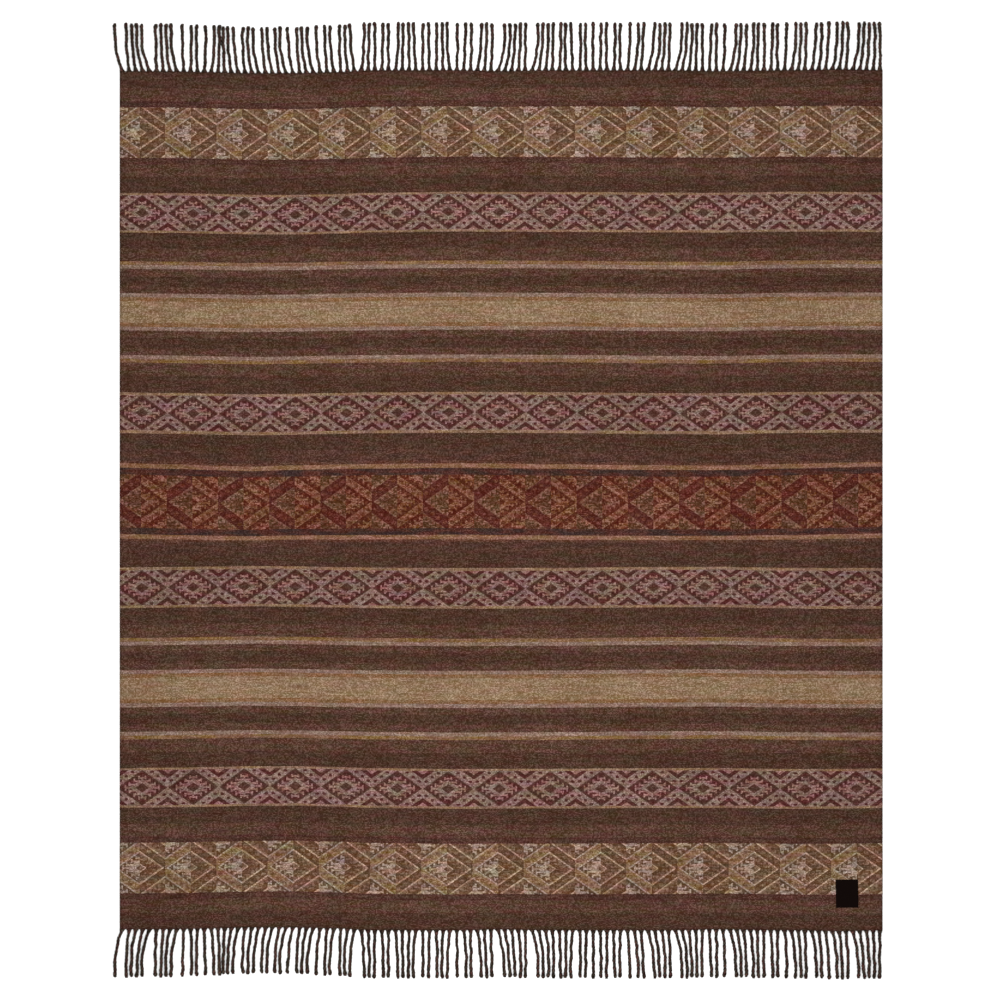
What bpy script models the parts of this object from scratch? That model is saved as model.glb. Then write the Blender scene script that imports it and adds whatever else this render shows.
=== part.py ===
"""Woven alpaca throw, laid flat: one cloth panel, a twisted fringe at each end and a small sewn-on label.

Metres, +Z up. +X runs across the throw from selvedge to selvedge, +Y along its length.
The origin is the middle of the cloth's underside, on the surface the throw lies on.
"""

import math

import bmesh
import bpy
from mathutils import Matrix

# Driving dimensions of the cloth
CLOTH_WIDTH = 1.400
WOVEN_LENGTH = 1.575
CLOTH_THICKNESS = 0.003
SELVEDGE_ROUNDING = 0.0008
SEAT_GAP = 0.0003

# How far each woven end strays from a straight line: place across the cloth, rise towards the fringe
END_EDGE = (
    {"across": -0.700, "rise": 0.0000},
    {"across": -0.600, "rise": -0.0003},
    {"across": -0.530, "rise": -0.0020},
    {"across": -0.460, "rise": -0.0036},
    {"across": -0.380, "rise": -0.0036},
    {"across": -0.310, "rise": -0.0018},
    {"across": -0.230, "rise": 0.0016},
    {"across": -0.080, "rise": 0.0018},
    {"across": 0.000, "rise": 0.0002},
    {"across": 0.080, "rise": 0.0016},
    {"across": 0.310, "rise": 0.0018},
    {"across": 0.390, "rise": 0.0002},
    {"across": 0.540, "rise": 0.0018},
    {"across": 0.620, "rise": 0.0034},
    {"across": 0.700, "rise": 0.0018},
)

# Driving dimensions of the fringe
STRANDS = 112
STRAND_LENGTH = 0.088
STRAND_WIDTH = 0.0052
ROOT_WIDTH = 0.0098
STRIP_DEPTH = 0.005
TIP_GAP = 0.0008
GATHER = 0.76
TIP_LINE_DIP = 1.9

# The fringe in stretches, left to right: strands in each clump, and how far the tips lean across
FRINGE_STRETCHES = (
    {"clumps": (1, 4, 4, 1), "lean_left": -0.0135, "lean_right": -0.0025},
    {"clumps": (2, 1, 2), "lean_left": 0.0000, "lean_right": 0.0040},
    {"clumps": (3, 3, 2, 2), "lean_left": -0.0065, "lean_right": -0.0095},
    {"clumps": (1, 3, 1, 2, 3), "lean_left": -0.0100, "lean_right": -0.0050},
    {"clumps": (3, 2, 4, 2), "lean_left": 0.0024, "lean_right": -0.0005},
    {"clumps": (3, 1, 2, 3), "lean_left": -0.0020, "lean_right": 0.0050},
    {"clumps": (5, 4), "lean_left": 0.0068, "lean_right": 0.0066},
    {"clumps": (3, 2, 1, 2, 2), "lean_left": -0.0006, "lean_right": 0.0005},
    {"clumps": (1, 2, 4, 3), "lean_left": 0.0050, "lean_right": 0.0090},
    {"clumps": (2, 2, 1), "lean_left": 0.0010, "lean_right": 0.0030},
    {"clumps": (3, 3), "lean_left": 0.0084, "lean_right": 0.0031},
    {"clumps": (2, 1, 3, 2), "lean_left": 0.0020, "lean_right": 0.0070},
    {"clumps": (1, 3, 5), "lean_left": 0.0070, "lean_right": 0.0055},
)

# One strand from root to tip: share of its length, share of its lean, width and height over the strand's own
STRAND_SECTIONS = (
    {"run": 0.09, "lean": 0.16, "width": 1.04, "height": 0.88},
    {"run": 0.38, "lean": 0.74, "width": 1.00, "height": 0.88},
    {"run": 0.86, "lean": 1.00, "width": 1.00, "height": 0.88},
    {"run": 0.95, "lean": 1.00, "width": 1.22, "height": 1.00},
    {"run": 1.00, "lean": 1.00, "width": 0.92, "height": 0.80},
)

# Driving dimensions of the label, and its place and turn on the cloth
LABEL_WIDTH = 0.041
LABEL_LENGTH = 0.0515
LABEL_THICKNESS = 0.0008
LABEL_CENTRE = (0.6346, -0.7216)
LABEL_TURN = math.radians(0.7)

WOOL_BROWN = (0.085, 0.045, 0.030, 1.0)
FRINGE_BROWN = (0.075, 0.038, 0.026, 1.0)
SATIN_BLACK = (0.012, 0.012, 0.013, 1.0)


def clear_scene():
    """Removes whatever the startup scene holds."""
    for old in list(bpy.data.objects):
        bpy.data.objects.remove(old, do_unlink=True)


def plain_material(name, colour, roughness):
    """A Principled BSDF of one colour, not metallic."""
    material = bpy.data.materials.new(name)
    material.use_nodes = True
    shader = material.node_tree.nodes["Principled BSDF"]
    shader.inputs["Base Color"].default_value = colour
    shader.inputs["Roughness"].default_value = roughness
    shader.inputs["Metallic"].default_value = 0.0
    return material


def add_piece(name, shape, material):
    """Turns a bmesh into a named object with its faces pointing out."""
    bmesh.ops.recalc_face_normals(shape, faces=shape.faces)
    mesh = bpy.data.meshes.new(name)
    shape.to_mesh(mesh)
    shape.free()
    mesh.materials.append(material)
    piece = bpy.data.objects.new(name, mesh)
    bpy.context.scene.collection.objects.link(piece)
    return piece


def edge_rise(across):
    """Height of the woven end over its straight line, read between the rows of END_EDGE."""
    for left, right in zip(END_EDGE, END_EDGE[1:]):
        if across <= right["across"]:
            part = (across - left["across"]) / (right["across"] - left["across"])
            ease = part * part * (3.0 - 2.0 * part)
            return left["rise"] + ease * (right["rise"] - left["rise"])
    return END_EDGE[-1]["rise"]


def woven_end(across):
    """The line where the weave stops and the fringe's strands come free."""
    return WOVEN_LENGTH / 2 + edge_rise(across)


def panel_end(across):
    """The cloth panel's own end, which leaves room for the fringe's strip."""
    return woven_end(across) - STRIP_DEPTH - SEAT_GAP


def seam_places():
    """Places across where the cloth panel and the fringe's strip both have a corner: each row and midway."""
    rows = [row["across"] for row in END_EDGE]
    midway = [(left + right) / 2 for left, right in zip(rows, rows[1:])]
    return sorted(rows + midway)


def make_cloth(material):
    """A flat sheet with straight selvedges, wandering ends and softened upper edges."""
    shape = bmesh.new()
    places = seam_places()
    outline = [(across, -panel_end(across)) for across in places]
    outline += [(across, panel_end(across)) for across in reversed(places)]
    underside = shape.faces.new([shape.verts.new((x, y, 0.0)) for x, y in outline])
    lifted = bmesh.ops.extrude_face_region(shape, geom=[underside])
    top = [item for item in lifted["geom"] if isinstance(item, bmesh.types.BMVert)]
    bmesh.ops.translate(shape, verts=top, vec=(0.0, 0.0, CLOTH_THICKNESS))
    rim = [edge for edge in shape.edges if edge.verts[0] in top and edge.verts[1] in top]
    bmesh.ops.bevel(shape, geom=rim, offset=SELVEDGE_ROUNDING, segments=1, affect="EDGES")
    return add_piece("cloth", shape, material)


def root_places():
    """Middle of each strand's root, evenly spaced from selvedge to selvedge."""
    first = -CLOTH_WIDTH / 2 + ROOT_WIDTH / 2
    pitch = (CLOTH_WIDTH - ROOT_WIDTH) / (STRANDS - 1)
    return [first + pitch * number for number in range(STRANDS)]


def tip_places(roots):
    """Where each strand's tip lies across: clumps draw together and lean, and no two tips meet."""
    pitch = roots[1] - roots[0]
    tips = []
    for stretch in FRINGE_STRETCHES:
        last_clump = len(stretch["clumps"]) - 1
        for place, count in enumerate(stretch["clumps"]):
            part = place / last_clump
            lean = stretch["lean_left"] + part * (stretch["lean_right"] - stretch["lean_left"])
            first = len(tips)
            middle = sum(roots[first:first + count]) / count
            for number in range(count):
                spread = (number - (count - 1) / 2) * pitch * GATHER
                tips.append(middle + lean + spread)
    knot_width = STRAND_WIDTH * max(section["width"] for section in STRAND_SECTIONS)
    for number in range(1, STRANDS):
        tips[number] = max(tips[number], tips[number - 1] + knot_width + TIP_GAP)
    return tips


def strand_length(number, root):
    """Length of a strand, a little uneven, and shorter where the woven end dips."""
    uneven = 0.0009 * math.sin(2.4 * number) + 0.0006 * math.sin(1.1 * number)
    return STRAND_LENGTH + uneven + (TIP_LINE_DIP - 1.0) * min(edge_rise(root), 0.0)


def grow_strand(shape, face, number, root, tip):
    """Draws the strip's root face out along the strand, section by section, flat on the ground."""
    length = strand_length(number, root)
    height = STRAND_WIDTH
    start = woven_end(root)
    for section in STRAND_SECTIONS:
        last_middle = face.calc_center_median().x
        face = bmesh.ops.extrude_discrete_faces(shape, faces=[face])["faces"][0]
        middle = root + (tip - root) * section["lean"]
        half = STRAND_WIDTH * section["width"] / 2
        along = start + length * section["run"]
        for corner in face.verts:
            side = math.copysign(half, corner.co.x - last_middle)
            up = height * section["height"] if corner.co.z > CLOTH_THICKNESS / 2 else 0.0
            corner.co = (middle + side, along, up)


def make_fringe(name, facing, material):
    """A narrow strip along the woven end with every strand drawn out of it; facing is +1 far, -1 near."""
    shape = bmesh.new()
    roots = root_places()
    tips = tip_places(roots)
    half_root = ROOT_WIDTH / 2
    outer = [(root + side * half_root) for root in roots for side in (-1.0, 1.0)]
    inner = seam_places()
    low_out = [shape.verts.new((x, woven_end(x), 0.0)) for x in outer]
    top_out = [shape.verts.new((x, woven_end(x), CLOTH_THICKNESS)) for x in outer]
    low_in = [shape.verts.new((x, woven_end(x) - STRIP_DEPTH, 0.0)) for x in inner]
    top_in = [shape.verts.new((x, woven_end(x) - STRIP_DEPTH, CLOTH_THICKNESS)) for x in inner]
    shape.faces.new(low_in + low_out[::-1])
    shape.faces.new(top_in[::-1] + top_out)
    for place in range(len(inner) - 1):
        shape.faces.new((low_in[place + 1], low_in[place], top_in[place], top_in[place + 1]))
    shape.faces.new((low_in[0], low_out[0], top_out[0], top_in[0]))
    shape.faces.new((low_out[-1], low_in[-1], top_in[-1], top_out[-1]))
    root_faces = []
    for place in range(len(outer) - 1):
        corners = (low_out[place], low_out[place + 1], top_out[place + 1], top_out[place])
        face = shape.faces.new(corners)
        if place % 2 == 0:
            root_faces.append(face)
    for number, face in enumerate(root_faces):
        grow_strand(shape, face, number, roots[number], tips[number])
    bmesh.ops.transform(shape, matrix=Matrix.Diagonal((1.0, facing, 1.0, 1.0)), verts=shape.verts)
    return add_piece(name, shape, material)


def make_label(material):
    """A thin satin patch lying just over the cloth, near its right selvedge and near end."""
    shape = bmesh.new()
    bmesh.ops.create_cube(shape, size=1.0)
    bmesh.ops.scale(shape, vec=(LABEL_WIDTH, LABEL_LENGTH, LABEL_THICKNESS), verts=shape.verts)
    uprights = [edge for edge in shape.edges if abs(edge.verts[0].co.z - edge.verts[1].co.z) > 0.0001]
    bmesh.ops.bevel(shape, geom=uprights, offset=0.0012, segments=2, affect="EDGES")
    label = add_piece("label", shape, material)
    height = CLOTH_THICKNESS + SEAT_GAP + LABEL_THICKNESS / 2
    label.location = (*LABEL_CENTRE, height)
    label.rotation_euler.z = LABEL_TURN
    return label


clear_scene()
make_cloth(plain_material("woven alpaca", WOOL_BROWN, 0.9))
fringe_finish = plain_material("twisted alpaca", FRINGE_BROWN, 0.9)
make_fringe("fringe_top", 1.0, fringe_finish)
make_fringe("fringe_bottom", -1.0, fringe_finish)
make_label(plain_material("black satin", SATIN_BLACK, 0.4))
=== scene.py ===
import math
import random

import bpy
import numpy as np
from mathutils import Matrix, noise


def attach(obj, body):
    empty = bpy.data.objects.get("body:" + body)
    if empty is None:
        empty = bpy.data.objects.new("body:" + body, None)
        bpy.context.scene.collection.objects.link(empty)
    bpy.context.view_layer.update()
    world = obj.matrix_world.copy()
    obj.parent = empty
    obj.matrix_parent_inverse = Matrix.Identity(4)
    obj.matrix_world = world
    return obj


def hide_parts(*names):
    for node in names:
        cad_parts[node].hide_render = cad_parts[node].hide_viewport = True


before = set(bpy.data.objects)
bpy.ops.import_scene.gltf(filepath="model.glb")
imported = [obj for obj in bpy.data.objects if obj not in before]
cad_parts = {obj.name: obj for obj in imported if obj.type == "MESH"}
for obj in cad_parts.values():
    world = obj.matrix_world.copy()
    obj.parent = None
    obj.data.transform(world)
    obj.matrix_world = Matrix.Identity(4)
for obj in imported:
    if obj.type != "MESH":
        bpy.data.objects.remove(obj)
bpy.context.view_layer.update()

# The view and the light. The throw lies on a white studio floor and is seen from straight above.
# Light comes evenly from all round, and a long softbox overhead makes the middle a little lighter
# than the selvedges.
VIEW_SIDE = 1.836
VIEW_AT = (-0.0021, 0.0005)
LENS_MM = 100.0
SENSOR_MM = 36.0
SKY_WHITE = (1.0, 0.995, 0.985, 1.0)
SOFTBOX_WIDE, SOFTBOX_LONG = 0.4, 4.6
SOFTBOX_HEIGHT = 1.5
SOFTBOX_WATTS = 31.0
FLOOR_HALF = 9.0
FLOOR_BELOW = 0.0004
FLOOR_WHITE = (0.93, 0.93, 0.93, 1.0)

camera_data = bpy.data.cameras.new("overhead camera")
camera_data.lens = LENS_MM
camera_data.sensor_width = SENSOR_MM
camera = bpy.data.objects.new("overhead camera", camera_data)
camera.location = (*VIEW_AT, VIEW_SIDE * LENS_MM / SENSOR_MM)
scene = bpy.context.scene
scene.collection.objects.link(camera)
scene.camera = camera
scene.view_settings.view_transform = "Standard"

sky = bpy.data.worlds.new("even studio light")
sky.use_nodes = True
sky.node_tree.nodes["Background"].inputs["Color"].default_value = SKY_WHITE
sky.node_tree.nodes["Background"].inputs["Strength"].default_value = 1.0
scene.world = sky

lamp_data = bpy.data.lights.new("softbox", "AREA")
lamp_data.shape = "RECTANGLE"
lamp_data.size = SOFTBOX_WIDE
lamp_data.size_y = SOFTBOX_LONG
lamp_data.energy = SOFTBOX_WATTS
lamp = bpy.data.objects.new("softbox", lamp_data)
lamp.location = (0.0, 0.0, SOFTBOX_HEIGHT)
scene.collection.objects.link(lamp)

floor_corners = [
    (x * FLOOR_HALF, y * FLOOR_HALF, -FLOOR_BELOW)
    for x, y in ((-1, -1), (1, -1), (1, 1), (-1, 1))
]
floor_mesh = bpy.data.meshes.new("studio floor")
floor_mesh.from_pydata(floor_corners, [], [(0, 1, 2, 3)])
floor_paint = bpy.data.materials.new("floor white")
floor_paint.use_nodes = True
floor_shader = floor_paint.node_tree.nodes["Principled BSDF"]
floor_shader.inputs["Base Color"].default_value = FLOOR_WHITE
floor_shader.inputs["Roughness"].default_value = 0.9
floor_shader.inputs["Specular IOR Level"].default_value = 0.0
floor_mesh.materials.append(floor_paint)
floor = bpy.data.objects.new("studio floor", floor_mesh)
scene.collection.objects.link(floor)


# The woven panel. One length of alpaca cloth with straight selvedges, woven in stripes of heathered
# and space-dyed yarn with seven patterned bands, and laid out so that its picks wander a little.
# The weaver's drafts of the bands are worked out cell by cell and read back in the material.
CLOTH_WIDTH = 1.400
WOVEN_LENGTH = 1.575
CLOTH_THICKNESS = 0.003
THREAD_ACROSS = 0.0022
THREAD_ALONG = 0.0018

# How far the picks stray from straight, by the place across. Both halves of the throw stray
# outward alike at their ends, outer bands and inner bands; its middle strays as a whole.
WANDER = (
    {"across": -0.700, "end": 0.0000, "outer": 0.0000, "inner": 0.0003, "middle": -0.0010},
    {"across": -0.600, "end": -0.0003, "outer": -0.0006, "inner": -0.0008, "middle": -0.0031},
    {"across": -0.530, "end": -0.0020, "outer": -0.0018, "inner": -0.0019, "middle": -0.0049},
    {"across": -0.460, "end": -0.0036, "outer": -0.0034, "inner": -0.0032, "middle": -0.0065},
    {"across": -0.380, "end": -0.0036, "outer": -0.0037, "inner": -0.0023, "middle": -0.0045},
    {"across": -0.310, "end": -0.0018, "outer": -0.0022, "inner": -0.0009, "middle": -0.0035},
    {"across": -0.230, "end": 0.0016, "outer": 0.0004, "inner": 0.0003, "middle": -0.0028},
    {"across": -0.080, "end": 0.0018, "outer": 0.0021, "inner": 0.0013, "middle": -0.0018},
    {"across": 0.000, "end": 0.0002, "outer": 0.0016, "inner": 0.0011, "middle": -0.0025},
    {"across": 0.080, "end": 0.0016, "outer": 0.0015, "inner": 0.0007, "middle": -0.0035},
    {"across": 0.310, "end": 0.0018, "outer": 0.0006, "inner": -0.0013, "middle": -0.0049},
    {"across": 0.390, "end": 0.0002, "outer": 0.0003, "inner": -0.0016, "middle": -0.0049},
    {"across": 0.540, "end": 0.0018, "outer": 0.0020, "inner": 0.0009, "middle": -0.0029},
    {"across": 0.620, "end": 0.0034, "outer": 0.0018, "inner": 0.0014, "middle": -0.0009},
    {"across": 0.700, "end": 0.0018, "outer": 0.0009, "inner": 0.0014, "middle": 0.0006},
)
MIDDLE_HOLDS_TO, MIDDLE_GONE_BY = 0.055, 0.14
INNER_FROM, INNER_TO = 0.15, 0.40
OUTER_FROM, OUTER_TO = 0.52, 0.68
END_FROM = 0.75

# Each yarn as it looks in daylight, and what its dye drifts to along its length, in sRGB. The bands
# take theirs in sets of four, and bands A and C have one set for the left half of each diamond and
# another for the right half. Every set keeps its four places, though the right halves use three.
YARNS = {
    "dark brown": ((64, 39, 30), (60, 41, 29)),
    "mid brown": ((75, 47, 39), (68, 48, 34)),
    "plum": ((69, 43, 34), (61, 39, 30)),
    "plum black": ((66, 34, 27), (50, 33, 29)),
    "red brown": ((76, 46, 35), (70, 44, 33)),
    "peach": ((117, 82, 68), (107, 76, 52)),
    "gold": ((108, 81, 48), (105, 75, 59)),
    "orange": ((111, 78, 52), (106, 80, 57)),
    "mauve": ((114, 93, 82), (116, 90, 79)),
    "tan": ((122, 98, 76), (118, 95, 72)),
    "cream gold": ((117, 91, 67), (112, 85, 72)),
    "wine": ((68, 38, 31), (60, 35, 28)),
    "A left dark": ((84, 58, 39), (76, 56, 42)),
    "A left olive": ((96, 70, 43), (91, 63, 48)),
    "A left gold": ((112, 88, 60), (110, 83, 67)),
    "A left cream": ((135, 112, 96), (127, 109, 98)),
    "A right dark": ((84, 55, 35), (76, 54, 38)),
    "A right brown": ((104, 79, 61), (97, 72, 56)),
    "A right gold": ((108, 90, 56), (108, 76, 67)),
    "A right cream": ((147, 119, 100), (138, 113, 96)),
    "B maroon": ((68, 30, 28), (64, 37, 30)),
    "B nut": ((71, 42, 35), (65, 42, 33)),
    "B pink": ((124, 88, 85), (118, 90, 81)),
    "B mauve": ((118, 91, 86), (112, 91, 81)),
    "C left maroon": ((72, 28, 18), (69, 30, 23)),
    "C left rose": ((88, 43, 37), (84, 44, 30)),
    "C left olive": ((73, 45, 27), (73, 43, 28)),
    "C left tan": ((106, 69, 57), (98, 66, 52)),
    "C right red": ((73, 28, 12), (71, 33, 18)),
    "C right dot": ((82, 42, 25), (82, 44, 28)),
    "C right olive": ((71, 45, 28), (75, 43, 28)),
    "C right peach": ((110, 69, 56), (102, 66, 47)),
}
YARN_NUMBERS = {name: number for number, name in enumerate(YARNS)}
YARNS_IN_SET = 4
DARK, BROWN, GOLD, CREAM = range(YARNS_IN_SET)
MAROON, NUT, PINK, MAUVE = range(YARNS_IN_SET)
RED, ROSE, OLIVE, PEACH = range(YARNS_IN_SET)

# Stripes from the middle of the throw to either end: yarn or band, and width in millimetres
STRIPES = (
    ("centre band", 48.7), ("plum black", 12.2), ("peach", 8.2), ("red brown", 4.6), ("plum", 21.4),
    ("dark brown", 27.9), ("cream gold", 5.3), ("inner band", 64.7), ("cream gold", 4.6),
    ("dark brown", 31.1), ("mid brown", 24.0), ("gold", 6.7), ("mauve", 6.8), ("mid brown", 12.9),
    ("dark brown", 20.2), ("mid brown", 12.5), ("mauve", 6.7), ("orange", 7.3), ("tan", 39.5),
    ("orange", 7.3), ("mauve", 7.3), ("mid brown", 12.4), ("dark brown", 18.8), ("mid brown", 13.8),
    ("mauve", 7.2), ("gold", 6.5), ("mid brown", 23.9), ("dark brown", 28.8), ("cream gold", 4.0),
    ("outer band", 64.7), ("cream gold", 4.0), ("dark brown", 30.7), ("mid brown", 22.8),
    ("wine", 2.8), ("plum", 5.2), ("wine", 3.0), ("end band", 92.7), ("wine", 2.8), ("plum", 5.0),
    ("wine", 3.4), ("mid brown", 23.9), ("dark brown", 31.2),
)

# Each band's first yarn, the place of its first diamond's middle in from the left selvedge, the
# width of a repeat, and how light its yarns came out
BANDS = {
    "centre band": {"yarns": "C left maroon", "diamond": 0.0394, "repeat": 0.0940, "light": 0.93},
    "inner band": {"yarns": "B maroon", "diamond": 0.0408, "repeat": 0.0939, "light": 0.88},
    "outer band": {"yarns": "B maroon", "diamond": 0.0414, "repeat": 0.0936, "light": 0.96},
    "end band": {"yarns": "A left dark", "diamond": 0.0366, "repeat": 0.0940, "light": 1.0},
}

# The bands' drafts are charted on a grid of cells, 64 to a repeat, and mirrored about the middle
# row. They share a ground plan of nested diamonds, numbered in rings out from the middle: hooks run
# round a field like combs' teeth, and outside them goes a broad border with dots along it.
CELLS = 64
HALF_REPEAT = CELLS // 2
CELL_ALONG = 0.001036
FIELD_CORE = 16
STEM_HALF, STEM_ENDS = 1, 18
HOOKS = 4
LONGEST_HOOK = 22.3
HOOK_PITCH = 5.6
HOOK_STEP = 5.75
HOOK_WIDTH = 2.0
HOOK_RISE = 4.7
ARM_FROM, ARM_TO = -1.2, 1.8
BARB_WIDTH = 0.6
BARB_FROM = -2.2
DOT_PITCH = 7.6


def reach(column):
    """Cells from the middle of a repeat to the middle of a column, to the left or right."""
    return abs(column + 0.5 - HALF_REPEAT)


def hooked(out, row):
    """Whether a cell is in a diamond's hooked field; the hook on the middle row is the longest."""
    if out + row < FIELD_CORE or (out < STEM_HALF and row < STEM_ENDS):
        return True
    for hook in range(HOOKS):
        inward = LONGEST_HOOK - HOOK_STEP * hook - out
        rise = row - HOOK_PITCH * hook
        if inward < 0 or rise < BARB_FROM or rise > HOOK_RISE:
            continue
        if inward < BARB_WIDTH or ARM_FROM < rise < ARM_TO:
            return True
        if rise > ARM_FROM and (inward < HOOK_WIDTH or inward + rise < HOOK_RISE):
            return True
    return False


def dotted(out, row, ring, first, size):
    """Whether a cell is in one of the dots that run along a ring, from a first row outward."""
    middle = first + DOT_PITCH * round((row - first) / DOT_PITCH)
    return math.hypot(row - middle, out - (ring - middle)) <= size


A_INNER_LINE, A_BORDER, A_OUTER_LINE, A_GAP = 28, 31, 47, 50
A_DOTS = {"ring": 40.2, "first": 13.4, "size": 2.9}
A_GAP_MIDDLE = 47.4
A_LEFT_HEART, A_RIGHT_HEART, A_HEART_CORE = 4.5, 9, 6.2


def draft_of_outlined_diamonds(column, row):
    """Band A: cream outlines, golds and olives in each left half, browns in each right half."""
    out, row = reach(column), row + 0.5
    ring = out + row
    left = column < HALF_REPEAT
    if A_INNER_LINE <= ring < A_BORDER or A_OUTER_LINE <= ring < A_GAP:
        return CREAM
    if A_BORDER <= ring < A_OUTER_LINE:
        if dotted(out, row, **A_DOTS):
            return BROWN
        return GOLD if left else DARK
    if ring >= A_GAP:
        out, row = HALF_REPEAT - out, A_GAP_MIDDLE - row
        ring = out + row
    if left and ring < A_LEFT_HEART:
        return DARK
    if not left and ring < A_RIGHT_HEART:
        return CREAM if ring > A_HEART_CORE else BROWN
    if hooked(out, row):
        return CREAM if left else DARK
    return DARK if left else BROWN


B_HEART, B_INNER_HOOKS_TO, B_RIM = 9, 15, 28.5
B_BORDER, B_CHEVRON, B_GAP = 31.5, 49, 57
B_DOTS = {"ring": 40.3, "first": 12.7, "size": 2.4}


def draft_of_hooked_diamonds(column, row):
    """Band B: maroon diamonds with pink hooks, a dotted border, and a chevron over each gap."""
    out, row = reach(column), row + 0.5
    ring = out + row
    if ring >= B_GAP:
        return PINK
    if ring >= B_CHEVRON:
        return MAROON
    if ring >= B_BORDER:
        return MAROON if dotted(out, row, **B_DOTS) else MAUVE
    if ring < B_HEART:
        return NUT
    if hooked(out, row):
        return MAUVE if ring < B_INNER_HOOKS_TO else PINK
    return NUT if ring > B_RIM else MAROON


C_LEFT_BORDER, C_LEFT_GAP = 30, 52
C_RIGHT_BORDER, C_RIGHT_GAP = 32, 48
C_DOTS = {"ring": 41.9, "first": 14.2, "size": 3.0}
C_GAP_MIDDLE = 48.6
C_LEFT_HEART, C_RIGHT_HEART = 5, 8


def draft_of_split_diamonds(column, row):
    """Band C: maroon and olive in each left half, peach and dark red in each right half."""
    out, row = reach(column), row + 0.5
    ring = out + row
    left = column < HALF_REPEAT
    gap = C_LEFT_GAP if left else C_RIGHT_GAP
    if (C_LEFT_BORDER if left else C_RIGHT_BORDER) <= ring < gap:
        if dotted(out, row, **C_DOTS):
            return ROSE
        return RED if left else PEACH
    if ring >= gap:
        out, row = HALF_REPEAT - out, C_GAP_MIDDLE - row
        ring = out + row
    if ring < (C_LEFT_HEART if left else C_RIGHT_HEART):
        return PEACH if left else RED
    if left:
        return OLIVE if hooked(out, row) else PEACH
    return PEACH if hooked(out, row) else RED


DRAFTS = (draft_of_outlined_diamonds, draft_of_hooked_diamonds, draft_of_split_diamonds)
CARD_ROWS = 32
CARD_COLUMNS = 16


def punched_cards(draft, first_row, bit):
    """One bit of each cell's yarn for 32 rows: each quarter of a row as one number below one."""
    cards = []
    for row in range(first_row, first_row + CARD_ROWS):
        card = []
        for start in range(0, CELLS, CARD_COLUMNS):
            holes = [(draft(start + place, row) >> bit) & 1 for place in range(CARD_COLUMNS)]
            number = sum(hole << place for place, hole in enumerate(holes))
            card.append((number + 0.5) / 2 ** CARD_COLUMNS)
        cards.append(card)
    return [(number / CARD_ROWS, card) for number, card in enumerate(cards)]


def eased(value, low, high):
    """0 below low, 1 above high, and a smooth rise between."""
    part = min(1.0, max(0.0, (value - low) / (high - low)))
    return part * part * (3.0 - 2.0 * part)


def read_wander(across, column):
    """One column of WANDER at any place across, eased between its rows."""
    for before, after in zip(WANDER, WANDER[1:]):
        if across <= after["across"]:
            share = eased(across, before["across"], after["across"])
            return before[column] + share * (after[column] - before[column])
    return WANDER[-1][column]


def laid_along(across, along):
    """Where a pick that was woven straight lies now."""
    away = abs(along)
    inner, outer, end = (read_wander(across, column) for column in ("inner", "outer", "end"))
    outward = inner * eased(away, 0.0, INNER_FROM)
    outward += (outer - inner) * eased(away, INNER_TO, OUTER_FROM)
    outward += (end - outer) * eased(away, OUTER_TO, END_FROM)
    middle_left = 1.0 - eased(away, MIDDLE_HOLDS_TO, MIDDLE_GONE_BY)
    whole = read_wander(across, "middle") * middle_left
    return along + math.copysign(1.0, along) * outward + whole


COLUMNS = 160
LONGEST_FACE = 0.0085
SELVEDGE_DROP = 0.0009
BAND_LIFT = 0.0003
RIPPLE_HEIGHT = 0.00035
RIPPLE_WAVES = 14.0
RIPPLE_PLANE = 3.0
CLOTH_MARGIN = 0.004


def woven_rows():
    """Lines across the mesh from the near end to the far end, and each row's stripe."""
    half = []
    place = 0.0
    scale = WOVEN_LENGTH / 2 / sum(width for _, width in STRIPES)
    for name, width in STRIPES:
        half.append((name, place, place + width * scale))
        place += width * scale
    lines, stripes = [], []
    for side in (-1.0, 1.0):
        for name, start, end in (half[::-1] if side < 0 else half):
            steps = max(1, round((end - start) / LONGEST_FACE))
            low, high = (-end, -start) if side < 0 else (start, end)
            middle = 0.0 if name == "centre band" else (low + high) / 2
            for step in range(steps):
                lines.append(low + (high - low) * step / steps)
                stripes.append((name, middle))
    lines.append(WOVEN_LENGTH / 2)
    return lines, stripes


def sheet_faces(across_steps, along_steps):
    """The faces of a thin closed sheet: each one's row, and its corners as column, line, layer."""
    for line in range(along_steps):
        for number in range(across_steps):
            beyond = number + 1
            square = ((number, line), (beyond, line), (beyond, line + 1), (number, line + 1))
            yield line, [(column, at, 1) for column, at in square]
            yield line, [(column, at, 0) for column, at in square[::-1]]
        for side, here, there in ((0, line, line + 1), (across_steps, line + 1, line)):
            yield line, [(side, here, 1), (side, there, 1), (side, there, 0), (side, here, 0)]
    for number in range(across_steps):
        near = (0, 0, number, number + 1)
        far = (along_steps - 1, along_steps, number + 1, number)
        for row, end, here, there in (near, far):
            yield row, [(here, end, 0), (there, end, 0), (there, end, 1), (here, end, 1)]


def is_upright(corners):
    """Whether a face stands on the rim of a sheet, between its two layers."""
    return len({layer for _, _, layer in corners}) > 1


def turned_out(number, last, turn):
    """How far a rim's lower edge is spread into the texture's margin, at its first or last line."""
    return -turn if number == 0 else (turn if number == last else 0.0)


def finish_mesh(name, points, faces, spreads, corner_values=()):
    """A linked object from its points and faces, with named values kept on every face corner."""
    mesh = bpy.data.meshes.new(name)
    mesh.from_pydata(points, [], faces)
    for title, values in corner_values:
        kept = mesh.attributes.new(title, "FLOAT_VECTOR", "CORNER")
        kept.data.foreach_set("vector", np.array(values, np.float32).ravel())
    laid_flat = mesh.uv_layers.new(name="OFBake")
    laid_flat.data.foreach_set("uv", np.array(spreads, np.float32).ravel())
    mesh.shade_smooth()
    piece = bpy.data.objects.new(name, mesh)
    scene.collection.objects.link(piece)
    return piece


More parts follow.
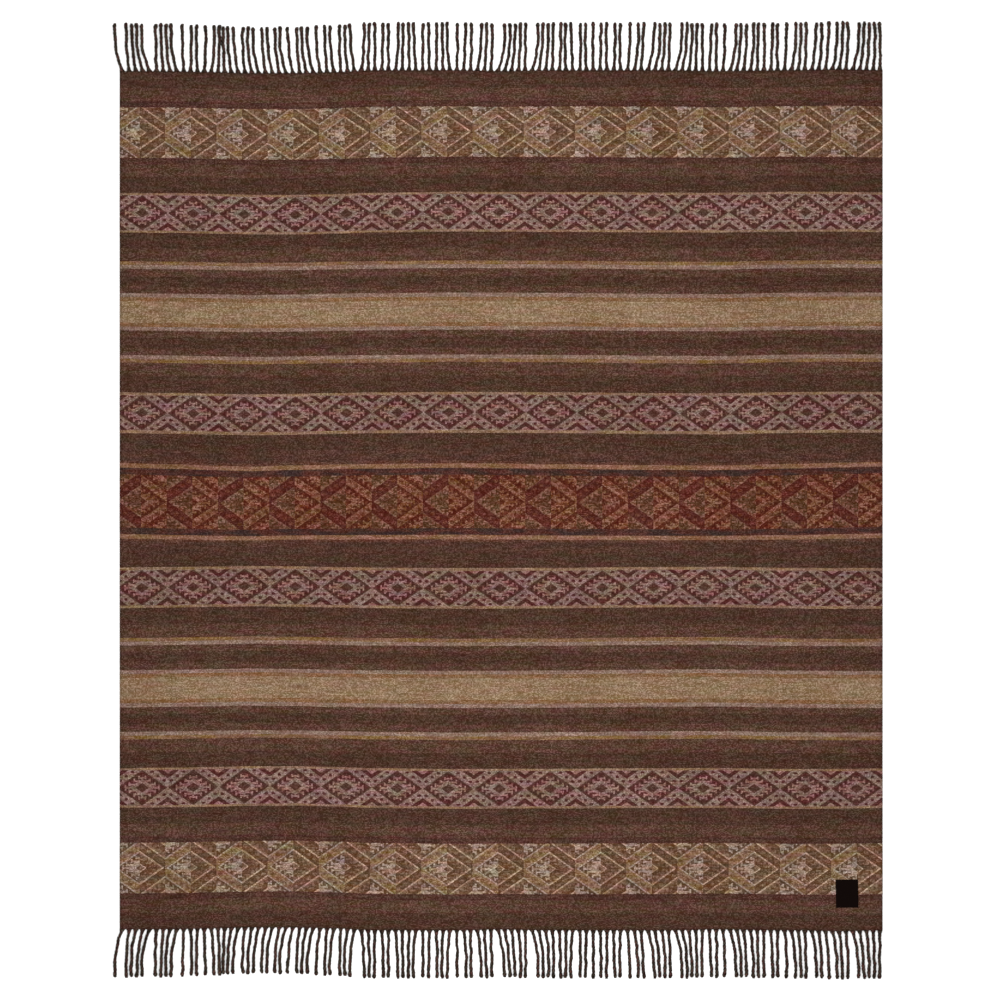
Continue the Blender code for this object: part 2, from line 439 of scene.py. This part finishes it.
def build_cloth():
    """The panel as one closed thin sheet, with its thread counts and draft places kept on it."""
    lines, stripes = woven_rows()
    last = len(lines) - 1
    across = [-CLOTH_WIDTH / 2 + CLOTH_WIDTH * number / COLUMNS for number in range(COLUMNS + 1)]
    wide = len(across)
    layer_size = wide * len(lines)
    points = []
    for layer in (0, 1):
        for line, along in enumerate(lines):
            name = stripes[min(line, last - 1)][0]
            lift = BAND_LIFT if name in BANDS else 0.0
            for number, place in enumerate(across):
                ripple = noise.noise((place * RIPPLE_WAVES, along * RIPPLE_WAVES, RIPPLE_PLANE))
                rim = number in (0, COLUMNS) or line in (0, last)
                top = CLOTH_THICKNESS - BAND_LIFT + lift + RIPPLE_HEIGHT * ripple
                top -= SELVEDGE_DROP if rim else 0.0
                points.append((place, laid_along(place, along), top if layer else 0.0))

    faces, spreads, drafts, threads = [], [], [], []
    for row, corners in sheet_faces(COLUMNS, last):
        faces.append([layer * layer_size + line * wide + number for number, line, layer in corners])
        name, middle = stripes[row]
        plain = {"yarns": name, "diamond": 0.0, "repeat": 1.0, "light": 1.0}
        band = BANDS.get(name, plain)
        code = YARN_NUMBERS[band["yarns"]]
        upright = is_upright(corners)
        for number, line, layer in corners:
            from_diamond = across[number] + CLOTH_WIDTH / 2 - band["diamond"]
            count = from_diamond / band["repeat"] * CELLS + HALF_REPEAT
            drafts.append((count, (lines[line] - middle) / CELL_ALONG, code))
            warp = (across[number] + CLOTH_WIDTH) / THREAD_ACROSS
            weft = (lines[line] + WOVEN_LENGTH) / THREAD_ALONG
            threads.append((warp, weft, band["light"]))
            turn = CLOTH_MARGIN if upright and not layer else 0.0
            inner = 1.0 - 2.0 * CLOTH_MARGIN
            u = CLOTH_MARGIN + inner * number / COLUMNS + turned_out(number, COLUMNS, turn)
            v = CLOTH_MARGIN + inner * (lines[line] / WOVEN_LENGTH + 0.5)
            spreads.append((u, v + turned_out(line, last, turn)))
    corner_values = (("draft", drafts), ("threads", threads))
    return finish_mesh("woven_panel", points, faces, spreads, corner_values)


def daylight(red, green, blue):
    """An sRGB colour as the linear numbers that a shader takes."""
    parts = [part / 255.0 for part in (red, green, blue)]
    return [part / 12.92 if part <= 0.04045 else ((part + 0.055) / 1.055) ** 2.4 for part in parts]


class Wire:
    """One socket of a material's nodes, so that shader maths reads as Python expressions."""

    def __init__(self, tree, socket=None):
        self.tree = tree
        self.socket = socket

    def node(self, kind, settings, inputs, output=0):
        """Adds a node: its settings first, then the values or wires of its sockets."""
        made = self.tree.nodes.new(kind)
        for name, value in settings.items():
            if name == "stops":
                self.fill(made.color_ramp, value)
            else:
                setattr(made, name, value)
        for key, value in inputs.items():
            if isinstance(value, Wire):
                self.tree.links.new(value.socket, made.inputs[key])
            else:
                made.inputs[key].default_value = value
        return Wire(self.tree, made.outputs[output])

    def fill(self, ramp, stops):
        """Sets a ramp's stops, each a place and a colour, with no blending between them."""
        ramp.interpolation = "CONSTANT"
        while len(ramp.elements) < len(stops):
            ramp.elements.new(1.0)
        for stop, (place, colour) in zip(ramp.elements, stops):
            stop.position = place
            stop.color = colour

    def into(self, shader, name):
        """Leads this wire into one of the shader's own sockets."""
        self.tree.links.new(self.socket, shader.inputs[name])

    def beside(self, name):
        """Another output of the node that this wire comes from."""
        return Wire(self.tree, self.socket.node.outputs[name])

    def maths(self, operation, *values):
        return self.node("ShaderNodeMath", {"operation": operation}, dict(enumerate(values)))

    def __add__(self, other):
        return self.maths("ADD", self, other)

    __radd__ = __add__

    def __mul__(self, other):
        return self.maths("MULTIPLY", self, other)

    __rmul__ = __mul__

    def __sub__(self, other):
        return self.maths("SUBTRACT", self, other)

    def __rsub__(self, other):
        return self.maths("SUBTRACT", other, self)

    def __truediv__(self, other):
        return self.maths("DIVIDE", self, other)

    def __mod__(self, other):
        return self.maths("FLOORED_MODULO", self, other)

    def __rpow__(self, other):
        return self.maths("POWER", other, self)

    def __gt__(self, other):
        return self.maths("GREATER_THAN", self, other)

    def __lt__(self, other):
        return self.maths("LESS_THAN", self, other)

    def __abs__(self):
        return self.maths("ABSOLUTE", self)

    def floor(self):
        return self.maths("FLOOR", self)

    def fraction(self):
        return self.maths("FRACT", self)

    def kept_within(self, low, high):
        raised = self.maths("MAXIMUM", self, low)
        return self.maths("MINIMUM", raised, high)

    def swung(self, swing):
        """A number from 0 to 1 as a factor about 1, from half the swing below to half above."""
        return 1.0 + swing * (self - 0.5)

    def off_middle(self):
        """How far a count is from the middle of its whole step, from 0 there to 1 at either end."""
        return abs((self.fraction() - 0.5) * 2.0)

    def parts(self):
        """The three parts of a vector or a colour."""
        split = self.node("ShaderNodeSeparateXYZ", {}, {0: self})
        return [split.beside(name) for name in ("X", "Y", "Z")]

    def vectors(self, operation, *values):
        return self.node("ShaderNodeVectorMath", {"operation": operation}, dict(enumerate(values)))

    def multiplied(self, other):
        """A place or a colour times another, or times a number for each of its parts."""
        return self.vectors("MULTIPLY", self, other)

    def plus(self, other):
        return self.vectors("ADD", self, other)

    def whole(self):
        return self.vectors("FLOOR", self)

    def times(self, amount):
        """A colour made lighter or darker by a number."""
        return self.node("ShaderNodeVectorMath", {"operation": "SCALE"}, {0: self, "Scale": amount})

    def choose(self, other, share):
        """This colour where share is 0, the other where it is 1."""
        return self.node("ShaderNodeMix", {"data_type": "RGBA"}, {0: share, 6: self, 7: other}, 2)

    def greyed(self):
        """How light a colour is, as one number."""
        return self.node("ShaderNodeRGBToBW", {}, {"Color": self})

    def tinting(self, amount):
        """This colour as a nearly white one that leans only a little towards it."""
        return self.vectors("MULTIPLY_ADD", self, (2.0 * amount,) * 3, (1.0 - amount,) * 3)

    def colour(self, parts):
        """A plain colour from three linear numbers."""
        made = self.node("ShaderNodeRGB", {}, {})
        made.socket.default_value = (*parts, 1.0)
        return made

    def attribute(self, name):
        return self.node("ShaderNodeAttribute", {"attribute_name": name}, {}, "Vector")

    def spot(self):
        """The place on the object itself, in metres."""
        return self.node("ShaderNodeTexCoord", {}, {}, "Object")

    def ramp(self, stops, place):
        """A ramp's colour and its alpha at a place along it."""
        colour = self.node("ShaderNodeValToRGB", {"stops": stops}, {0: place})
        return colour, colour.beside("Alpha")

    def noise(self, waves, detail):
        """Soft cloudy noise over this place, by its waves a metre across, along and up."""
        settings = {"Vector": self.multiplied(waves), "Scale": 1.0, "Detail": detail}
        return self.node("ShaderNodeTexNoise", {}, settings)

    def speckle(self):
        """A chance number for each place."""
        return self.node("ShaderNodeTexWhiteNoise", {}, {"Vector": self})

    def relief(self, depth, strength):
        """The bumped normal of this height."""
        settings = {"Height": self, "Distance": depth, "Strength": strength}
        return self.node("ShaderNodeBump", {}, settings)


def new_finish(name, roughness, shine):
    """A material, its shader and a wire to start from."""
    material = bpy.data.materials.new(name)
    material.use_nodes = True
    tree = material.node_tree
    shader = tree.nodes["Principled BSDF"]
    shader.inputs["Roughness"].default_value = roughness
    shader.inputs["Specular IOR Level"].default_value = shine
    return material, shader, Wire(tree)


def palette_stops(side):
    """The yarns as a ramp: side 0 is each yarn's own colour, side 1 what its dye drifts to."""
    colours = [daylight(*pair[side]) + [1.0] for pair in YARNS.values()]
    return [(number / len(YARNS), colour) for number, colour in enumerate(colours)]


def drafted_yarn(wire, count, row, in_b, in_c):
    """The number, from 0 to 3, of the yarn that a band's draft gives to a cell."""
    column = (count % float(CELLS)).floor()
    quarter = (column / CARD_COLUMNS).floor()
    shift = 2.0 ** (CARD_COLUMNS - column + quarter * CARD_COLUMNS)
    upper = row > CARD_ROWS - 0.5
    yarn = 0.0
    for bit in (0, 1):
        rows = []
        for draft in DRAFTS:
            near = wire.ramp(punched_cards(draft, 0, bit), (row + 0.5) / CARD_ROWS)
            far = wire.ramp(punched_cards(draft, CARD_ROWS, bit), (row + 0.5) / CARD_ROWS - 1.0)
            first_three = near[0].choose(far[0], upper).parts()
            rows.append(first_three + [near[1] + upper * (far[1] - near[1])])
        quarters = [a + in_b * (b - a) + in_c * (c - b) for a, b, c in zip(*rows)]
        number = quarters[0]
        for step in range(1, len(quarters)):
            number = number + (quarter > step - 0.5) * (quarters[step] - quarters[step - 1])
        yarn = yarn + ((number * shift).floor() % 2.0) * (1 + bit)
    return yarn, column


# How uneven the yarns are: the waves a metre of each unevenness, across, along and up
DRIFT_WAVES = (22.0, 105.0, 0.0)
HUE_WAVES = (24.0, 90.0, 7.0)
STREAK_WAVES = (26.0, 420.0, 0.0)
CLOUD_WAVES = (5.0, 9.0, 0.0)
FIBRE_WAVES = (900.0, 1500.0, 900.0)

# How far each swings the colour or the lightness, with the flecks by kind of stripe
DRIFT_SWING = 5.0
HUE_LEAN = 0.26
HUE_CALM_IN_PALE = 0.40
STREAK_SWING = 1.28
CLOUD_SWING = 0.44
FIBRE_SWING = 0.60
DARK_FLECKS, PALE_FLECKS, BAND_FLECKS, BAND_C_FLECKS = 0.52, 0.36, 0.40, 0.50
GREYED_SHARE = 0.5

# How much the threads' crowns, the fibres and the flecks stand up
CROWN_HEIGHT, FIBRE_HEIGHT, FLECK_HEIGHT = 0.55, 0.75, 0.30
NAP_DEPTH, NAP_STRENGTH = 0.0006, 0.75


def weave_finish():
    """Reads the drafts back cell by cell, then adds the dye's drift, heather, nap and relief."""
    material, shader, wire = new_finish("woven alpaca", roughness=0.92, shine=0.12)
    count, pick, code = wire.attribute("draft").parts()
    in_band = code > YARN_NUMBERS["A left dark"] - 0.5
    in_b = code > YARN_NUMBERS["B maroon"] - 0.5
    in_c = code > YARN_NUMBERS["C left maroon"] - 0.5
    pale = (code > YARN_NUMBERS["peach"] - 0.5) * (code < YARN_NUMBERS["cream gold"] + 0.5)
    drafted, column = drafted_yarn(wire, count, abs(pick).floor(), in_b, in_c)
    right_half = (column > HALF_REPEAT - 0.5) * (in_band - in_b + in_c)
    yarn = code + right_half * YARNS_IN_SET + in_band * drafted
    own = wire.ramp(palette_stops(0), (yarn + 0.5) / len(YARNS))[0]
    drifted = wire.ramp(palette_stops(1), (yarn + 0.5) / len(YARNS))[0]

    spot = wire.spot()
    threads = wire.attribute("threads")
    warp, weft, light = threads.parts()
    fleck = threads.whole().speckle()
    drift = (spot.noise(DRIFT_WAVES, 1.0) - 0.5) * DRIFT_SWING + 0.5
    hue = spot.noise(HUE_WAVES, 1.0).beside("Color")
    streak = spot.noise(STREAK_WAVES, 2.0)
    cloud = spot.noise(CLOUD_WAVES, 1.0)
    fibre = spot.noise(FIBRE_WAVES, 2.0)
    flecks = DARK_FLECKS + (BAND_FLECKS - DARK_FLECKS) * in_band
    flecks = flecks + (BAND_C_FLECKS - BAND_FLECKS) * in_c + (PALE_FLECKS - DARK_FLECKS) * pale
    tone = 1.0 + flecks * (fleck * fleck * 3.0 - 1.0)
    tone = tone * streak.swung(STREAK_SWING) * cloud.swung(CLOUD_SWING)
    tone = tone * fibre.swung(FIBRE_SWING) * light
    calmed = hue.choose(wire.colour((0.5, 0.5, 0.5)), HUE_CALM_IN_PALE * pale)
    dyed = own.choose(drifted, drift.kept_within(0.0, 1.0)).multiplied(calmed.tinting(HUE_LEAN))
    coloured = dyed.times(1.0 + (1.0 - GREYED_SHARE) * (tone - 1.0))
    coloured.plus(dyed.greyed() * (tone - 1.0) * GREYED_SHARE).into(shader, "Base Color")

    weft_over = ((warp.floor() + weft.floor()) * 0.5).fraction() > 0.25
    across, along = warp.off_middle(), weft.off_middle()
    crown = 1.0 - across * across * (1.0 - weft_over) - along * along * weft_over
    height = crown * CROWN_HEIGHT + fibre * FIBRE_HEIGHT + fleck * FLECK_HEIGHT
    height.relief(NAP_DEPTH, NAP_STRENGTH).into(shader, "Normal")
    return material


cloth = build_cloth()
cloth.data.materials.append(weave_finish())
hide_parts("cloth")
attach(cloth, "root")


# The fringes. The panel's own warp ends are parted into 112 groups at either end, and each group
# is plied into a cord of two, knotted just before its tip, and left to lie loose on the floor.
STRANDS = 112
STRAND_LENGTH = 0.088
STRAND_WIDTH = 0.0052
ROOT_WIDTH = 0.0098
PLIED_WIDTH = 0.0057
PLY_TURN = 0.0135
PLY_TURN_LEAST, PLY_TURN_MOST = 0.88, 1.12
TIP_GAP = 0.0008
GATHER = 0.76
TIP_LINE_DIP = 1.9
CUT_WAVES = ((0.0009, 2.4), (0.0006, 1.1))
SETTLING = 2.6
BOW = 0.0011
CHANCE_SEED = 40

# The strands from left to right: how many hang together in each clump, and how far a stretch leans
FRINGE_STRETCHES = (
    {"clumps": (1, 4, 4, 1), "lean_left": -0.0135, "lean_right": -0.0025},
    {"clumps": (2, 1, 2), "lean_left": 0.0000, "lean_right": 0.0040},
    {"clumps": (3, 3, 2, 2), "lean_left": -0.0065, "lean_right": -0.0095},
    {"clumps": (1, 3, 1, 2, 3), "lean_left": -0.0100, "lean_right": -0.0050},
    {"clumps": (3, 2, 4, 2), "lean_left": 0.0024, "lean_right": -0.0005},
    {"clumps": (3, 1, 2, 3), "lean_left": -0.0020, "lean_right": 0.0050},
    {"clumps": (5, 4), "lean_left": 0.0068, "lean_right": 0.0066},
    {"clumps": (3, 2, 1, 2, 2), "lean_left": -0.0006, "lean_right": 0.0005},
    {"clumps": (1, 2, 4, 3), "lean_left": 0.0050, "lean_right": 0.0090},
    {"clumps": (2, 2, 1), "lean_left": 0.0010, "lean_right": 0.0030},
    {"clumps": (3, 3), "lean_left": 0.0084, "lean_right": 0.0031},
    {"clumps": (2, 1, 3, 2), "lean_left": 0.0020, "lean_right": 0.0070},
    {"clumps": (1, 3, 5), "lean_left": 0.0070, "lean_right": 0.0055},
)
SIDES = 10
RINGS = 72

# Along a strand as shares of its length: where the root has closed, where the ply slackens, and
# where the knot is. Then what these do to its width and height, and how deep the ply's groove is.
FLARE_UNTIL = 0.10
SLACK_FROM, SLACK_BY = 0.5, 0.85
KNOT_AT, KNOT_REACH = 0.945, 0.022
KNOT_WIDENS, KNOT_RAISES = 0.16, 0.22
KNOT_WIDTH = STRAND_WIDTH * (1.0 + KNOT_RAISES)
FRAY_THINS = 0.25
SLACK_WIDENS = 0.07
PLY_HEIGHT = 0.90
PRESSED_FLAT = 0.90
LOBE_REACH = 1.10
GROOVE_DEPTH = 0.44
GROOVE_SHARPNESS = 1.2

# A strand swells and bends a little of its own accord and waves in a slow curve, all but its root
SWELLS = {"amount": 0.22, "by strand": 3.7, "along": 11.0, "plane": 5.0}
BENDS = {"amount": 0.0012, "by strand": 1.9, "along": 8.0, "plane": 11.0}
WAVE_AMOUNT, WAVE_TURNS = 0.0005, 13.0
FREE_BY = 0.2


def root_places():
    """Middle of each strand's root along the woven end."""
    first = -CLOTH_WIDTH / 2 + ROOT_WIDTH / 2
    pitch = (CLOTH_WIDTH - ROOT_WIDTH) / (STRANDS - 1)
    return [first + pitch * number for number in range(STRANDS)]


def tip_places(roots):
    """Middle of each strand's tip: clumps lean together, and no two knots touch."""
    pitch = roots[1] - roots[0]
    tips = []
    for stretch in FRINGE_STRETCHES:
        clumps = stretch["clumps"]
        for place, count in enumerate(clumps):
            part = place / (len(clumps) - 1)
            lean = stretch["lean_left"] + (stretch["lean_right"] - stretch["lean_left"]) * part
            middle = sum(roots[len(tips):len(tips) + count]) / count + lean
            aside = [(number - (count - 1) / 2) * pitch * GATHER for number in range(count)]
            tips += [middle + away for away in aside]
    for number in range(1, len(tips)):
        tips[number] = max(tips[number], tips[number - 1] + KNOT_WIDTH + TIP_GAP)
    return tips


def strand_length(number, root):
    """The strands are cut nearly level, so they are longer where the woven end dips."""
    uneven_cut = sum(amount * math.sin(pace * number) for amount, pace in CUT_WAVES)
    dip = (TIP_LINE_DIP - 1.0) * min(read_wander(root, "end"), 0.0)
    return STRAND_LENGTH + uneven_cut + dip


def spun_strand(number, root, tip, hand):
    """One strand's place, length and twist, and its own chance bends and shade."""
    return {
        "number": number,
        "root": root,
        "tip": tip,
        "start": WOVEN_LENGTH / 2 + read_wander(root, "end"),
        "length": strand_length(number, root),
        "turned": hand.uniform(0.0, math.pi),
        "turn": PLY_TURN * hand.uniform(PLY_TURN_LEAST, PLY_TURN_MOST),
        "bow": hand.uniform(-BOW, BOW),
        "wave": hand.uniform(0.0, 2.0 * math.pi),
        "shade": hand.uniform(0.0, 1.0),
    }


def uneven(kind, strand, run):
    """A smooth chance value along a strand, another for each strand."""
    place = (strand["number"] * kind["by strand"], run * kind["along"], kind["plane"])
    return kind["amount"] * noise.noise(place)


def strand_ring(strand, run, side):
    """The points round a strand at a share of its length: two lobes that turn, or a knot."""
    opened = max(0.0, 1.0 - run / FLARE_UNTIL) ** 2
    knot = math.exp(-((run - KNOT_AT) / KNOT_REACH) ** 2)
    thinned = FRAY_THINS * max(0.0, (run - KNOT_AT) / (1.0 - KNOT_AT)) ** 2
    wide = PLIED_WIDTH / 2 + (ROOT_WIDTH / 2 - PLIED_WIDTH / 2) * opened
    wide *= 1.0 + KNOT_WIDENS * knot - thinned + SLACK_WIDENS * eased(run, SLACK_FROM, SLACK_BY)
    wide *= 1.0 + uneven(SWELLS, strand, run)
    tall = STRAND_WIDTH / 2 * (PLY_HEIGHT + KNOT_RAISES * knot - thinned)
    tall += (CLOTH_THICKNESS / 2 - tall) * opened
    settled = 1.0 - (1.0 - run) ** SETTLING
    free = min(1.0, run / FREE_BY)
    middle = strand["root"] + (strand["tip"] - strand["root"]) * settled
    middle += strand["bow"] * math.sin(math.pi * run)
    middle += WAVE_AMOUNT * free * math.sin(strand["wave"] + run * WAVE_TURNS)
    middle += free * uneven(BENDS, strand, run)
    ply = strand["turned"] + 2.0 * math.pi * run * strand["length"] / strand["turn"]
    lobed = (1.0 - opened) * (1.0 - knot)
    along = side * (strand["start"] + run * strand["length"])
    ring = []
    for step in range(SIDES):
        around = 2.0 * math.pi * step / SIDES
        groove = (1.0 - abs(math.cos(around - ply))) ** GROOVE_SHARPNESS
        out = LOBE_REACH - GROOVE_DEPTH * lobed * groove
        level = tall * (1.0 - PRESSED_FLAT * out * math.cos(around))
        ring.append((middle + math.sin(around) * wide * out, along, level))
    return ring


STRAND_MARGIN, STRAND_HUB = 0.04, 0.01
STRIP_FROM, STRIP_WIDE = 0.1, 0.8


def build_strand(strand, side, first):
    """A strand's points and faces, its strip of the texture, and its threads' winding."""
    points, faces, spreads, threads = [], [], [], []
    for ring in range(RINGS + 1):
        points += strand_ring(strand, ring / RINGS, side)

    def add_face(corners, laid, flipped, is_wound):
        """Corners are points; laid says each one's step round, share along and texture place."""
        faces.append(corners[::-1] if flipped else corners)
        for step, run, v in (laid[::-1] if flipped else laid):
            u = (strand["number"] + STRIP_FROM + STRIP_WIDE * step / SIDES) / STRANDS
            spreads.append((u, v))
            along = run * strand["length"]
            turns = along / strand["turn"] + strand["turned"] / (2.0 * math.pi)
            winding = step / SIDES - (turns if is_wound else 0.0)
            threads.append((winding, along, strand["shade"]))

    for ring in range(1, RINGS + 1):
        below = first + (ring - 1) * SIDES
        low, high = (ring - 1) / RINGS, ring / RINGS
        for step in range(SIDES):
            after = (step + 1) % SIDES
            square = [below + after, below + SIDES + after, below + SIDES + step, below + step]
            places = ((step + 1, low), (step + 1, high), (step, high), (step, low))
            inner = 1.0 - 2.0 * STRAND_MARGIN
            laid = [(place, run, STRAND_MARGIN + inner * run) for place, run in places]
            add_face(square, laid, side > 0, True)
    root_end = (0, STRAND_MARGIN, STRAND_HUB)
    tip_end = (RINGS, 1.0 - STRAND_MARGIN, 1.0 - STRAND_HUB)
    for ring, v_rim, v_hub in (root_end, tip_end):
        rim = points[ring * SIDES:(ring + 1) * SIDES]
        hub = first + len(points)
        points.append(tuple(sum(point[axis] for point in rim) / SIDES for axis in range(3)))
        for step in range(SIDES):
            corner = first + ring * SIDES
            fan = [corner + step, corner + (step + 1) % SIDES, hub]
            run = ring / RINGS
            laid = [(step, run, v_rim), (step + 1, run, v_rim), (SIDES / 2, run, v_hub)]
            add_face(fan, laid, (side > 0) == (ring > 0), False)
    return points, faces, spreads, threads


def build_fringe(name, side, hand):
    """One fringe as a joined mesh of plied cords; side is 1 at the far end, -1 at the near end."""
    whole = ([], [], [], [])
    roots = root_places()
    for number, (root, tip) in enumerate(zip(roots, tip_places(roots))):
        strand = spun_strand(number, root, tip, hand)
        for gathered, more in zip(whole, build_strand(strand, side, len(whole[0]))):
            gathered += more
    points, faces, spreads, threads = whole
    return finish_mesh(name, points, faces, spreads, (("threads", threads),))


STRAND_BROWN = (45, 39, 31)
STRAND_PLUM = (58, 36, 32)
PLUM_WAVES = (160.0, 160.0, 160.0)
PLUM_FROM, PLUM_SWING = 0.42, 5.0
FADE_WAVES = (210.0, 210.0, 40.0)
FADE_SWING = 3.4
FADE_LEAST, FADE_MOST = 0.45, 2.1
HEATHER_WAVES = (420.0, 420.0, 420.0)
HEATHER_GAIN = 2.1
SHADE_SWING = 0.40
# Painted light: each cord is lightened on its lobes and darkened as painted shade in its grooves
PAINTED_LOBE_LIGHT, PAINTED_GROOVE_SHADE = 1.30, 0.90
HAIR_WAVES = (1500.0, 1500.0, 1500.0)
YARNS_ROUND, YARNS_LEAN = 10.0, 300.0
YARN_HEIGHT, HAIR_HEIGHT = 0.35, 0.8
CORD_DEPTH, CORD_STRENGTH = 0.0005, 0.8


def fringe_finish():
    """Dark plied alpaca: two yarns wound together, with heather and a hairy surface."""
    material, shader, wire = new_finish("plied alpaca", roughness=0.95, shine=0.05)
    winding, along, shade = wire.attribute("threads").parts()
    spot = wire.spot()
    groove = (winding * 2.0).off_middle()
    yarns = (winding * YARNS_ROUND + along * YARNS_LEAN).off_middle()
    heather = spot.noise(HEATHER_WAVES, 2.0)
    hair = spot.noise(HAIR_WAVES, 2.0)
    fade = spot.noise(FADE_WAVES, 1.0).swung(FADE_SWING).kept_within(FADE_LEAST, FADE_MOST)
    tone = shade.swung(SHADE_SWING) * (HEATHER_GAIN * heather)
    # Painted shade: darker in the grooves between the plies, lighter on their lobes
    tone = tone * (PAINTED_LOBE_LIGHT - PAINTED_GROOVE_SHADE * groove) * fade
    plum = ((spot.noise(PLUM_WAVES, 1.0) - PLUM_FROM) * PLUM_SWING).kept_within(0.0, 1.0)
    brown = wire.colour(daylight(*STRAND_BROWN))
    base = brown.choose(wire.colour(daylight(*STRAND_PLUM)), plum)
    base.times(tone).into(shader, "Base Color")
    height = yarns * YARN_HEIGHT + hair * HAIR_HEIGHT
    height.relief(CORD_DEPTH, CORD_STRENGTH).into(shader, "Normal")
    return material


plied = fringe_finish()
for node, side in (("fringe_top", 1), ("fringe_bottom", -1)):
    fringe = build_fringe("plied_" + node, side, random.Random(CHANCE_SEED + side))
    fringe.data.materials.append(plied)
    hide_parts(node)
    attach(fringe, "root")


# The label. A small black satin patch, its rims folded under, that lies flat on the cloth near one
# corner. The fine black thread that sews it on is not drawn, and the patch is left bare.
LABEL_WIDE, LABEL_LONG, LABEL_THICK = 0.0410, 0.0515, 0.0008
LABEL_AT = (0.6346, -0.7216)
LABEL_TURN = math.radians(0.7)
LABEL_FLOAT = 0.0034
LABEL_STEPS = 24
FOLD_HEIGHT, FOLD_AT, FOLD_REACH = 0.00018, 0.06, 0.03
EDGE_DROP = 0.00045
PUCKER_HEIGHT, PUCKER_WAVES = 0.00012, 3.0
LABEL_MARGIN, LABEL_RIM = 0.02, 0.015
LABEL_BLACK = (10, 4, 3)
RIB_WAVES = (700.0, 3500.0, 700.0)
RIB_SWING = 0.8
RIB_DEPTH, RIB_STRENGTH = 0.0002, 0.5


def label_height(u, v):
    """The patch is a little fuller along its folded rims, and thin at its very edge."""
    rim = min(u, v, 1.0 - u, 1.0 - v)
    fold = FOLD_HEIGHT * math.exp(-((rim - FOLD_AT) / FOLD_REACH) ** 2)
    edge = EDGE_DROP * max(0.0, 1.0 - rim / FOLD_REACH) ** 2
    pucker = PUCKER_HEIGHT * noise.noise((u * PUCKER_WAVES, v * PUCKER_WAVES, 1.0))
    return LABEL_THICK + fold - edge + pucker


def build_label():
    """A thin closed patch that lies on the cloth, turned a little."""
    points, faces, spreads = [], [], []
    wide = LABEL_STEPS + 1
    layer_size = wide * wide
    for layer in (0, 1):
        for line in range(wide):
            for number in range(wide):
                u, v = number / LABEL_STEPS, line / LABEL_STEPS
                x, y = (u - 0.5) * LABEL_WIDE, (v - 0.5) * LABEL_LONG
                across = LABEL_AT[0] + x * math.cos(LABEL_TURN) - y * math.sin(LABEL_TURN)
                along = LABEL_AT[1] + x * math.sin(LABEL_TURN) + y * math.cos(LABEL_TURN)
                height = label_height(u, v) if layer else 0.0
                points.append((across, along, LABEL_FLOAT + height))
    for _, corners in sheet_faces(LABEL_STEPS, LABEL_STEPS):
        faces.append([layer * layer_size + line * wide + number for number, line, layer in corners])
        upright = is_upright(corners)
        for number, line, layer in corners:
            turn = LABEL_RIM if upright and not layer else 0.0
            spreads.append([
                LABEL_MARGIN + (1.0 - 2.0 * LABEL_MARGIN) * place / LABEL_STEPS
                + turned_out(place, LABEL_STEPS, turn) for place in (number, line)
            ])
    return finish_mesh("label_patch", points, faces, spreads)


def satin_finish():
    """Black satin ribbon with its fine picks showing as a soft rib."""
    material, shader, wire = new_finish("black satin", roughness=0.55, shine=0.015)
    rib = wire.spot().noise(RIB_WAVES, 2.0)
    black = wire.colour(daylight(*LABEL_BLACK))
    black.times(rib.swung(RIB_SWING)).into(shader, "Base Color")
    rib.relief(RIB_DEPTH, RIB_STRENGTH).into(shader, "Normal")
    return material


label = build_label()
label.data.materials.append(satin_finish())
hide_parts("label")
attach(label, "root")
